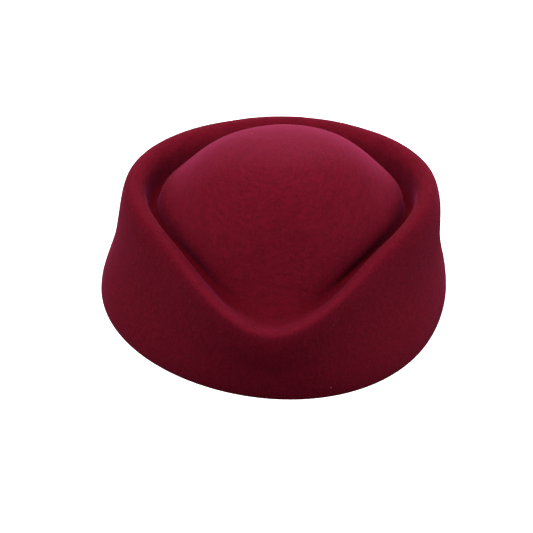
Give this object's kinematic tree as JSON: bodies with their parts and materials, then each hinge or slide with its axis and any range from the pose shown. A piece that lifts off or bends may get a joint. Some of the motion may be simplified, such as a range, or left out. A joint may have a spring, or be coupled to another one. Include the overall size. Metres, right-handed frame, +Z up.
{
  "type": "pillbox hat",
  "caption": "Brimless moulded felt hat with a turned-up collar that dips to a V at the front, round an egg-shaped crown; open below for the head.",
  "frame": {"origin": "middle of the hat's outline, on the plane of the cut rim it rests on", "axes": "+Z up from the rim to the crown; the V-shaped dip of the collar faces -Y"},
  "size_m": [0.1897, 0.188, 0.0856],
  "materials": {
    "wool_felt": "brushed wool felt"
  },
  "bodies": {
    "root": {"felt_body": "wool_felt"}
  },
  "joints": []
}
